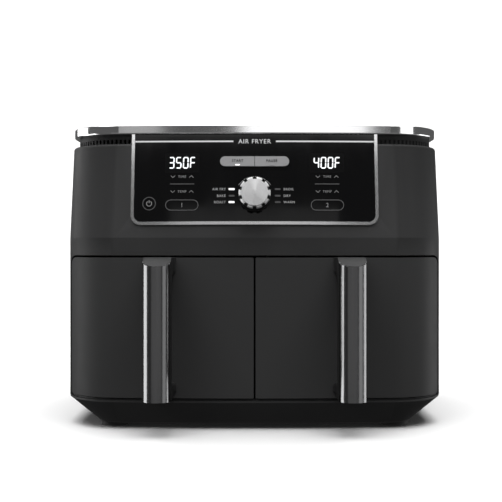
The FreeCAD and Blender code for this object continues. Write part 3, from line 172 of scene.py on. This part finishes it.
def turned_metal(name, colour, rough, centre):
    """Partly metallic paint, brushed in circles about the dial's axis."""
    rings_per_metre, metallic, anisotropy = 7000.0, 0.35, 0.9
    material, tree, shader, position = new_material(name)
    offset = tree.nodes.new("ShaderNodeVectorMath")
    offset.operation = "SUBTRACT"
    offset.inputs[1].default_value = centre
    tree.links.new(position, offset.inputs[0])
    length = tree.nodes.new("ShaderNodeVectorMath")
    length.operation = "LENGTH"
    tree.links.new(offset.outputs["Vector"], length.inputs[0])
    rings = tree.nodes.new("ShaderNodeTexNoise")
    rings.noise_dimensions = "1D"
    rings.inputs["Scale"].default_value = rings_per_metre
    rings.inputs["Detail"].default_value = 3.0
    tree.links.new(length.outputs["Value"], rings.inputs["W"])
    tree.links.new(spread(tree, rings.outputs["Fac"], rough - 0.05, rough + 0.08),
                   shader.inputs["Roughness"])
    darker = [part * 0.86 for part in colour]
    tree.links.new(blend_colour(tree, rings.outputs["Fac"], darker, colour), shader.inputs["Base Color"])
    bump(tree, shader, rings.outputs["Fac"], 0.12, 0.05 * MM)
    shader.inputs["Metallic"].default_value = metallic
    shader.inputs["Anisotropic"].default_value = anisotropy
    tangent = tree.nodes.new("ShaderNodeTangent")
    tangent.direction_type = "RADIAL"
    tangent.axis = "Y"
    tree.links.new(tangent.outputs["Tangent"], shader.inputs["Tangent"])
    return material


def glowing(name, colour, strength):
    """Emissive material for lamps and lit digits, also used to make plain print glow as painted light;
    very slightly uneven in brightness.
    """
    material, tree, shader, position = new_material(name)
    flicker = noise(tree, position, 600.0, 1.0)
    tree.links.new(blend_colour(tree, flicker, [part * 0.92 for part in colour], colour),
                   shader.inputs["Emission Color"])
    tree.links.new(blend_colour(tree, flicker, [part * 0.85 for part in colour], colour),
                   shader.inputs["Base Color"])
    shader.inputs["Emission Strength"].default_value = strength
    shader.inputs["Roughness"].default_value = 0.4
    return material


# ---------------------------------------------------------------- materials of the CAD nodes
def middle(node):
    """Centre of a node's box."""
    low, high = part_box(node)
    return (low + high) / 2


PAINT = grained("charcoal_paint", (0.049, 0.049, 0.0495), (0.054, 0.054, 0.0545),
                rough=0.47, grain=2600.0, depth=0.06 * MM, specular=0.10)
BLACK = grained("black_plastic", (0.015, 0.015, 0.0155), (0.020, 0.020, 0.0205),
                rough=0.52, grain=1700.0, depth=0.10 * MM, specular=0.2)
# The base pan's black plastic made paler than the other black parts, as painted light: it stands in for
# the floor's bounce on the base's downward faces.
PALER_BASE_BLACK = grained("base_plastic_painted_bounce", (0.048, 0.048, 0.0485), (0.055, 0.055, 0.0555),
               rough=0.52, grain=1700.0, depth=0.10 * MM, specular=0.2)
HANDLE = grained("handle_plastic", (0.020, 0.020, 0.0205), (0.026, 0.026, 0.0265),
                 rough=0.46, grain=2200.0, depth=0.07 * MM, specular=0.25)
SILICONE = grained("silicone", (0.012, 0.012, 0.012), (0.020, 0.020, 0.020),
                   rough=0.75, grain=900.0, depth=0.10 * MM)
COATING = grained("nonstick_coating", (0.020, 0.020, 0.021), (0.034, 0.034, 0.035),
                  rough=0.36, grain=1400.0, depth=0.08 * MM)
BOARD = grained("solder_mask", (0.006, 0.060, 0.022), (0.010, 0.085, 0.030),
                rough=0.35, grain=800.0, depth=0.05 * MM)
CHROME = polished("bright_chrome", (0.80, 0.80, 0.805), rough=0.10)
TRIM = polished("trim_satin", (0.86, 0.86, 0.865), rough=0.14)
DARK_CHROME = brushed("dark_chrome", (0.20, 0.20, 0.203), 0.17, stretch=(1.0, 1.0, 0.004),
                      strength=0.03, lines=500.0)
GLASS = polished("panel_glass_black", (0.004, 0.004, 0.0045), rough=0.05, smear=0.05,
                 metallic=0.0, ripple=0.004, specular=0.4)
DISPLAY = polished("display_smoke", (0.009, 0.009, 0.0095), rough=0.08, metallic=0.0,
                   ripple=0.004, specular=0.2)
KEY = grained("key_silver_paint", (0.30, 0.30, 0.305), (0.33, 0.33, 0.335),
              rough=0.34, grain=3000.0, depth=0.03 * MM)
CAVITY = brushed("aluminised_sheet", (0.42, 0.42, 0.41), 0.42, stretch=(0.04, 1.0, 1.0))
HEATER = brushed("heater_sheath", (0.17, 0.15, 0.13), 0.5, stretch=(1.0, 1.0, 0.1))
FAN = brushed("fan_sheet", (0.55, 0.55, 0.55), 0.4, stretch=(1.0, 0.1, 1.0))
MOTOR = brushed("motor_can", (0.30, 0.30, 0.31), 0.45, stretch=(1.0, 1.0, 0.05))
SCREW = brushed("screw_zinc", (0.55, 0.56, 0.58), 0.35, stretch=(1.0, 0.2, 1.0))
DIAL = turned_metal("dial_spun", (0.95, 0.95, 0.955), 0.32, middle("dial_face"))
LAMP_OFF = grained("lamp_unlit", (0.05, 0.05, 0.052), (0.07, 0.07, 0.072),
                   rough=0.35, grain=900.0, depth=0.03 * MM)

FINISH = {
    PAINT: ["outer_housing", "drawer_front_*"],
    PALER_BASE_BLACK: ["base_pan"],
    BLACK: ["front_frame", "rear_cover", "top_cover", "vent_ring", "panel_carrier",
            "dial_skirt", "dial_grip", "drawer_back_*", "cooling_fan_*", "thermal_cutouts",
            "drawer_switches"],
    HANDLE: ["handle_core_*"],
    SILICONE: ["feet", "crisper_bumpers_*", "cord_gland"],
    COATING: ["basket_*", "crisper_plate_*"],
    BOARD: ["control_board", "power_board"],
    CHROME: ["top_rim"],
    TRIM: ["panel_trim"],
    DARK_CHROME: ["handle_cover_*"],
    GLASS: ["panel_glass"],
    DISPLAY: ["display_*"],
    KEY: ["key_*"],
    CAVITY: ["liner_*", "chassis_deck"],
    HEATER: ["heater_*"],
    FAN: ["hot_fan_*"],
    MOTOR: ["motor_*", "encoder_body", "encoder_plunger"],
    SCREW: ["dial_shaft", "temperature_probes", "case_screws", "fan_guard_*", "fan_shaft_*",
            "handle_screws_*"],
    DIAL: ["dial_face"],
    LAMP_OFF: ["indicator_lamps"],
}


def finish_nodes():
    """Give each CAD node its material."""
    for material, names in FINISH.items():
        for name in names:
            family = [name.replace("*", side) for side in SIDES] if "*" in name else [name]
            for node in family:
                NODES[node].data.materials.clear()
                NODES[node].data.materials.append(material)


# ---------------------------------------------------------------- printing on the panel
CAPITAL_SHARE = 0.69  # height of a capital over the font size
PRINT_LIFT = 0.12 * MM
PRINT_THICKNESS = 0.10 * MM
WHITE_LIT = glowing("digit_white", (0.93, 0.95, 0.97), 1.1)
WHITE_LAMP = glowing("lamp_white", (1.0, 1.0, 1.0), 1.6)
# The header rules and name are only print, yet glow faintly: painted light standing in for the light
# they would catch.
GLOWING_PRINT = glowing("rule_white_painted_glow", (0.66, 0.66, 0.67), 0.55)
WHITE_INK = ink("ink_white", (0.80, 0.80, 0.81), (0.86, 0.86, 0.87))
GREY_INK = ink("ink_grey", (0.12, 0.12, 0.122), (0.15, 0.15, 0.152))
PALE_INK = ink("ink_pale", (0.40, 0.40, 0.405), (0.46, 0.46, 0.465))
DARK_INK = ink("ink_dark", (0.02, 0.02, 0.021), (0.03, 0.03, 0.031))


def surface_point(node, x, z, lift=PRINT_LIFT):
    """Point in front of a node at (x, z), lifted off its face."""
    hit, place, normal, _ = NODES[node].ray_cast(Vector((x, -1.0, z)), Vector((0, 1, 0)))
    if not hit:
        raise ValueError(f"nothing of {node} at {x:.4f}, {z:.4f}")
    return place + normal * lift


def printed(name, shape, node, body, material, lift=PRINT_LIFT):
    """Turn a flat mesh drawn in x and z into a thin closed layer on a node's face."""
    for vertex in shape.verts:
        vertex.co = surface_point(node, vertex.co.x, vertex.co.z, lift)
    bmesh.ops.recalc_face_normals(shape, faces=shape.faces)
    for face in shape.faces:
        if face.normal.y > 0:
            face.normal_flip()
    made = bmesh.ops.extrude_face_region(shape, geom=list(shape.faces))
    moved = [item for item in made["geom"] if isinstance(item, bmesh.types.BMVert)]
    bmesh.ops.translate(shape, verts=moved, vec=(0, -PRINT_THICKNESS, 0))
    bmesh.ops.recalc_face_normals(shape, faces=shape.faces)
    mesh = bpy.data.meshes.new(name)
    shape.to_mesh(mesh)
    shape.free()
    piece = bpy.data.objects.new(name, mesh)
    bpy.context.scene.collection.objects.link(piece)
    mesh.materials.append(material)
    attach(piece, body)
    return piece


def add_polygon(shape, points):
    """Add one flat polygon, given in x and z, split into triangles if it isn't convex."""
    corners = [shape.verts.new((x, 0.0, z)) for x, z in points]
    face = shape.faces.new(corners)
    bmesh.ops.triangulate(shape, faces=[face])


def add_stroke(shape, points, width, closed=False):
    """Add a line of constant width through points in x and z."""
    count = len(points)
    rails = []
    for index, (x, z) in enumerate(points):
        before = points[index - 1] if closed or index else points[index]
        after = points[(index + 1) % count] if closed or index < count - 1 else points[index]
        along_in = Vector((x - before[0], z - before[1]))
        along_out = Vector((after[0] - x, after[1] - z))
        along_in = along_in.normalized() if along_in.length else along_out.normalized()
        along_out = along_out.normalized() if along_out.length else along_in
        across = Vector((-along_in.y - along_out.y, along_in.x + along_out.x)).normalized()
        reach = width / 2 / max(0.4, across.dot(Vector((-along_in.y, along_in.x))))
        rails.append((shape.verts.new((x + across.x * reach, 0, z + across.y * reach)),
                      shape.verts.new((x - across.x * reach, 0, z - across.y * reach))))
    if closed:
        rails.append(rails[0])
    for (left, right), (next_left, next_right) in zip(rails, rails[1:]):
        shape.faces.new((left, right, next_right, next_left))


def arc_points(x, z, radius, start, end, steps=40):
    """Points on an arc, angles in degrees anticlockwise from +x."""
    angles = [math.radians(start + (end - start) * step / steps) for step in range(steps + 1)]
    return [(x + radius * math.cos(angle), z + radius * math.sin(angle)) for angle in angles]


def stadium_points(x, z, width, height):
    """Outline of a pill shape."""
    radius, reach = height / 2, (width - height) / 2
    return arc_points(x + reach, z, radius, -90, 90, 20) + arc_points(x - reach, z, radius, 90, 270, 20)


def rectangle_points(x, z, width, height, corner=0.0):
    """Outline of a rectangle with optional round corners."""
    if not corner:
        signs = ((-1, -1), (1, -1), (1, 1), (-1, 1))
        return [(x + sx * width / 2, z + sz * height / 2) for sx, sz in signs]
    points = []
    for sx, sz, start in ((1, 1, 0), (-1, 1, 90), (-1, -1, 180), (1, -1, 270)):
        points += arc_points(x + sx * (width / 2 - corner), z + sz * (height / 2 - corner),
                             corner, start, start + 90, 6)
    return points


def text_shape(words, x, z, height, align, weight):
    """Flat lettering as a mesh in x and z, with its capitals at a given height."""
    curve = bpy.data.curves.new("lettering", "FONT")
    curve.body = words
    curve.align_x = align
    curve.space_character = 1.16
    curve.size = height / CAPITAL_SHARE
    curve.offset = weight
    curve.resolution_u = 3
    holder = bpy.data.objects.new("lettering", curve)
    bpy.context.scene.collection.objects.link(holder)
    bpy.context.view_layer.update()
    evaluated = holder.evaluated_get(bpy.context.evaluated_depsgraph_get())
    flat = bpy.data.meshes.new_from_object(evaluated)
    bpy.data.objects.remove(holder)
    shape = bmesh.new()
    shape.from_mesh(flat)
    bmesh.ops.remove_doubles(shape, verts=shape.verts, dist=1e-6)
    for vertex in shape.verts:
        vertex.co = (vertex.co.x + x, 0.0, vertex.co.y + z - height / 2)
    for face in shape.faces:
        face.smooth = False
    return shape


# Panel layout, in metres from the machine's centre plane and from the ground
HEADER_Z = 307.2 * MM
KEY_X, KEY_Z, KEY_LAMP_Z = 18.2 * MM, 286.2 * MM, 281.6 * MM
COLUMN_X = 77.4 * MM
DIGIT_Z, TIME_Z, TEMP_Z = 284.0 * MM, 269.0 * MM, 253.0 * MM
DIVIDER_Z, ZONE_Z = 261.1 * MM, 238.5 * MM
DIAL_Z = 248.4 * MM
MODE_X, MODE_LAMP_X = 30.7 * MM, 24.5 * MM
MODE_ROWS = (255.5 * MM, 248.4 * MM, 241.6 * MM)
POWER_X, POWER_Z = -112.4 * MM, 240.1 * MM
DIGIT_HEIGHT = 12.6 * MM
DIGIT_WIDTH = 6.1 * MM
DIGIT_PITCH = 7.55 * MM
SEGMENT = 1.30 * MM
CAPITAL = 2.5 * MM
SEGMENTS = {"3": "ABCDG", "5": "ACDFG", "0": "ABCDEF", "4": "BCFG", "F": "AEFG"}


def segment_points(letter, x, z):
    """Outline of one bar of a seven-segment digit centred at (x, z)."""
    half_w, half_h = DIGIT_WIDTH / 2 - SEGMENT / 2, DIGIT_HEIGHT / 2 - SEGMENT / 2
    places = {"A": (0, half_h, 0), "D": (0, -half_h, 0), "G": (0, 0, 0),
              "B": (half_w, half_h / 2, 1), "F": (-half_w, half_h / 2, 1),
              "C": (half_w, -half_h / 2, 1), "E": (-half_w, -half_h / 2, 1)}
    dx, dz, upright = places[letter]
    reach = (half_h / 2 if upright else half_w) - 0.12 * MM
    point, side = reach - SEGMENT / 2, SEGMENT / 2
    bar = [(-reach, 0), (-point, -side), (point, -side), (reach, 0), (point, side), (-point, side)]
    if upright:
        bar = [(-across, along) for along, across in bar]
    slant = 0.035
    return [(x + dx + u + (dz + v) * slant, z + dz + v) for u, v in bar]


def print_digits(side_name, side, word):
    """Smoked window and lit seven-segment digits of one display."""
    x = side * COLUMN_X
    window = bmesh.new()
    add_polygon(window, rectangle_points(x, DIGIT_Z, 37.0 * MM, 21.0 * MM, 1.2 * MM))
    printed(f"display_window_{side_name}", window, "panel_glass", "machine", DISPLAY,
            0.02 * MM)
    shape = bmesh.new()
    for index, character in enumerate(word):
        centre = x + (index - (len(word) - 1) / 2) * DIGIT_PITCH
        for letter in SEGMENTS[character]:
            add_polygon(shape, segment_points(letter, centre, DIGIT_Z))
    printed(f"digits_{side_name}", shape, "panel_glass", "machine", WHITE_LIT,
            PRINT_LIFT + 0.05 * MM)


def print_words(name, words, x, z, material, height=CAPITAL, align="CENTER",
                node="panel_glass", body="machine", weight=0.0):
    """Generic lettering on a face."""
    shape = text_shape(words, x, z, height, align, weight)
    return printed(name, shape, node, body, material)


def print_column(side_name, side, number):
    """Time and temperature rows, divider and numbered zone key of one column."""
    x = side * COLUMN_X
    for word, z in (("TIME", TIME_Z), ("TEMP", TEMP_Z)):
        print_words(f"word_{word.lower()}_{side_name}", word, x, z, PALE_INK)
        arrows = bmesh.new()
        for hand in (-1, 1):
            centre, rise = x + hand * 9.9 * MM, hand * 1.1 * MM
            add_stroke(arrows, [(centre - 2.3 * MM, z - rise), (centre, z + rise),
                                (centre + 2.3 * MM, z - rise)], 0.5 * MM)
        printed(f"arrows_{word.lower()}_{side_name}", arrows, "panel_glass", "machine", PALE_INK)
    marks = bmesh.new()
    add_polygon(marks, rectangle_points(x, DIVIDER_Z, 26.0 * MM, 0.8 * MM))
    add_stroke(marks, stadium_points(x, ZONE_Z, 34.6 * MM, 10.9 * MM), 0.75 * MM, closed=True)
    printed(f"zone_outline_{side_name}", marks, "panel_glass", "machine", GREY_INK)
    print_words(f"zone_number_{side_name}", number, x, ZONE_Z, PALE_INK, 4.4 * MM)


def print_modes():
    """Names of the cooking modes, with their lamps beside the dial."""
    names = {"left": ("AIR FRY", "BAKE", "ROAST"), "right": ("BROIL", "DRY", "WARM")}
    lit = {"left": (True, False, True), "right": (False, False, False)}
    for side_name, side in SIDES.items():
        align = "RIGHT" if side < 0 else "LEFT"
        for index, (word, z) in enumerate(zip(names[side_name], MODE_ROWS)):
            print_words(f"mode_{side_name}_{index}", word, side * MODE_X, z, WHITE_INK,
                        align=align)
            lamp = bmesh.new()
            add_polygon(lamp, rectangle_points(side * MODE_LAMP_X, z, 6.1 * MM, 1.9 * MM, 0.7 * MM))
            material = WHITE_LAMP if lit[side_name][index] else LAMP_OFF
            printed(f"mode_lamp_{side_name}_{index}", lamp, "panel_glass", "machine", material)


def print_power():
    """Power mark in its ring."""
    x, z = POWER_X, POWER_Z
    ring = bmesh.new()
    add_stroke(ring, arc_points(x, z, 6.75 * MM, 0, 354, 60), 0.7 * MM, closed=True)
    printed("power_ring", ring, "panel_glass", "machine", GREY_INK)
    icon = bmesh.new()
    add_stroke(icon, arc_points(x, z, 2.7 * MM, 125, 415, 30), 0.8 * MM)
    add_stroke(icon, [(x, z + 0.6 * MM), (x, z + 3.4 * MM)], 0.8 * MM)
    printed("power_icon", icon, "panel_glass", "machine", PALE_INK)


def print_header():
    """Rules across the top of the glass and a generic name between them, printed with a faint glow that
    is painted light.
    """
    start, end = 22.8 * MM, 128.4 * MM
    for side_name, side in SIDES.items():
        rule = bmesh.new()
        steps = 24
        add_stroke(rule, [(side * (start + (end - start) * step / steps), HEADER_Z)
                          for step in range(steps + 1)], 1.7 * MM)
        printed(f"header_rule_{side_name}", rule, "panel_glass", "machine", GLOWING_PRINT)
    print_words("header_name", "AIR FRYER", 0.0, HEADER_Z, GLOWING_PRINT, 4.6 * MM,
                weight=0.04 * MM)


def print_dial_scale():
    """Ticks over the dial, with a longer stroke at each end."""
    x, z, radius = 0.0, DIAL_Z, 20.5 * MM
    shape = bmesh.new()
    for start, end in ((34, 54), (126, 146)):
        add_stroke(shape, arc_points(x, z, radius, start, end, 16), 0.5 * MM)
    ticks, first, sweep = 12, 58.5, 63.0
    for index in range(ticks):
        angle = first + index * sweep / (ticks - 1)
        add_stroke(shape, arc_points(x, z, radius, angle - 1.3, angle + 1.3, 3), 1.0 * MM)
    printed("dial_scale", shape, "panel_glass", "machine", PALE_INK)


def print_keys():
    """Words on the two silver keys and the small lamp in each."""
    words = {"left": "START", "right": "PAUSE"}
    lamps = {"left": WHITE_LAMP, "right": KEY}
    for side_name, side in SIDES.items():
        node = f"key_{side_name}"
        print_words(f"key_word_{side_name}", words[side_name], side * KEY_X, KEY_Z, DARK_INK,
                    2.6 * MM, node=node, body=node, weight=0.06 * MM)
        lamp = bmesh.new()
        add_polygon(lamp, rectangle_points(side * KEY_X, KEY_LAMP_Z, 4.6 * MM, 1.1 * MM, 0.5 * MM))
        printed(f"key_lamp_{side_name}", lamp, node, node, lamps[side_name])


# ---------------------------------------------------------------- studio
def make_stage():
    """Pale seamless floor that curves up into a backdrop.

    It takes the machine's shadow but throws no light back on it, so the low parts stay dark.
    """
    depth, height, bend, half = 3.0, 3.2, 1.2, 5.0
    profile = [(-4.0, 0.0), (depth - bend, 0.0)]
    profile += [(depth - bend + bend * math.sin(math.radians(10 * step)),
                 bend - bend * math.cos(math.radians(10 * step))) for step in range(1, 10)]
    profile.append((depth, height))
    shape = bmesh.new()
    rails = [[shape.verts.new((x, y, z)) for y, z in profile] for x in (-half, half)]
    for index in range(len(profile) - 1):
        left, right = rails
        shape.faces.new((left[index], right[index], right[index + 1], left[index + 1]))
    mesh = bpy.data.meshes.new("studio_floor")
    shape.to_mesh(mesh)
    shape.free()
    for face in mesh.polygons:
        face.use_smooth = True
    floor = bpy.data.objects.new("studio_floor", mesh)
    bpy.context.scene.collection.objects.link(floor)
    material, tree, shader, position = new_material("studio_paper")
    paper = blend_colour(tree, noise(tree, position, 3.0), (0.88, 0.88, 0.88), (0.92, 0.92, 0.92))
    tree.links.new(paper, shader.inputs["Base Color"])
    shader.inputs["Roughness"].default_value = 0.9
    shader.inputs["Specular IOR Level"].default_value = 0.1
    mesh.materials.append(material)
    floor.visible_glossy = False
    floor.visible_diffuse = False


def soft_box(name, place, target, width, height, radiance):
    """Rectangular light that faces a point, with its brightness as radiance."""
    data = bpy.data.lights.new(name, "AREA")
    data.shape = "RECTANGLE"
    data.size, data.size_y = width, height
    data.energy = math.pi * width * height * radiance
    light = bpy.data.objects.new(name, data)
    light.location = place
    light.rotation_euler = (Vector(target) - Vector(place)).to_track_quat("-Z", "Y").to_euler()
    bpy.context.scene.collection.objects.link(light)
    return light


def panel_light(name, bearings, distance, low, high, radiance, lights_paint=False):
    """Upright light between two bearings (degrees left of straight ahead) and two heights.

    Unless told otherwise it shows in polished surfaces only, as a stripe, and leaves the paint dark.
    """
    first, last = bearings
    bearing = math.radians((first + last) / 2)
    width = 2 * distance * math.tan(math.radians(abs(last - first) / 2))
    place = (-math.sin(bearing) * distance, -math.cos(bearing) * distance, (low + high) / 2)
    light = soft_box(name, place, (0.0, 0.0, place[2]), width, high - low, radiance)
    light.visible_diffuse = lights_paint


def make_lights():
    """Overhead soft box, upright panels round the front and a dim surround."""
    soft_box("overhead", (0.0, 0.0, 2.4), (0.0, 0.1, 0.0), 3.2, 2.6, 4.6)
    soft_box("backdrop_wash", (0.0, 0.9, 2.7), (0.0, 3.0, 1.3), 4.0, 1.0, 7.0)
    panel_light("left_low", (67.0, 103.0), 1.5, -0.5, 0.32, 3.6)
    panel_light("left_high", (88.0, 126.0), 1.5, 0.36, 0.95, 2.9)
    panel_light("left_fill", (30.0, 62.0), 1.9, 0.95, 1.5, 1.6, lights_paint=True)
    panel_light("right_low", (-82.0, -118.0), 1.5, -0.5, 0.32, 2.4)
    panel_light("right_high", (-40.0, -66.0), 1.6, 0.38, 0.95, 1.8)
    panel_light("right_front_low", (-40.0, -70.0), 1.7, -0.5, 0.30, 0.8)
    panel_light("front_low", (34.0, -34.0), 2.6, -0.5, 0.32, 0.23)
    panel_light("front", (2.0, -16.0), 2.6, 0.42, 0.84, 1.2)
    panel_light("front_left", (19.0, 13.0), 2.6, 0.42, 0.84, 0.35)
    panel_light("front_middle", (12.0, -12.0), 2.6, 0.86, 1.10, 0.4)
    panel_light("front_top", (42.0, -42.0), 2.6, 1.40, 1.95, 1.5)
    world = bpy.data.worlds.new("surround")
    world.use_nodes = True
    background = world.node_tree.nodes["Background"]
    background.inputs["Color"].default_value = (1.0, 1.0, 1.0, 1.0)
    background.inputs["Strength"].default_value = 0.10
    bpy.context.scene.world = world


def make_camera():
    """Level camera on the centre plane, just above the height of the drawers' upper edge."""
    data = bpy.data.cameras.new("camera")
    focal_length_mm, sensor_mm, shift = 67.9, 36.0, (-0.0072, -0.0110)
    data.lens = focal_length_mm
    data.sensor_width = sensor_mm
    data.shift_x, data.shift_y = shift
    camera = bpy.data.objects.new("camera", data)
    handle_reach, distance, eye_height = 0.050, 1.0, 0.1955
    camera.location = (0.0, cad_bounds[0][1] + handle_reach - distance, eye_height)
    camera.rotation_euler = (math.radians(90), 0.0, 0.0)
    bpy.context.scene.collection.objects.link(camera)
    bpy.context.scene.camera = camera


# ---------------------------------------------------------------- making it
make_camera()
make_stage()
make_lights()
finish_nodes()
print_digits("left", -1, "350F")
print_digits("right", 1, "400F")
print_column("left", -1, "1")
print_column("right", 1, "2")
print_modes()
print_power()
print_header()
print_dial_scale()
print_keys()
bpy.context.scene.view_settings.view_transform = "Standard"
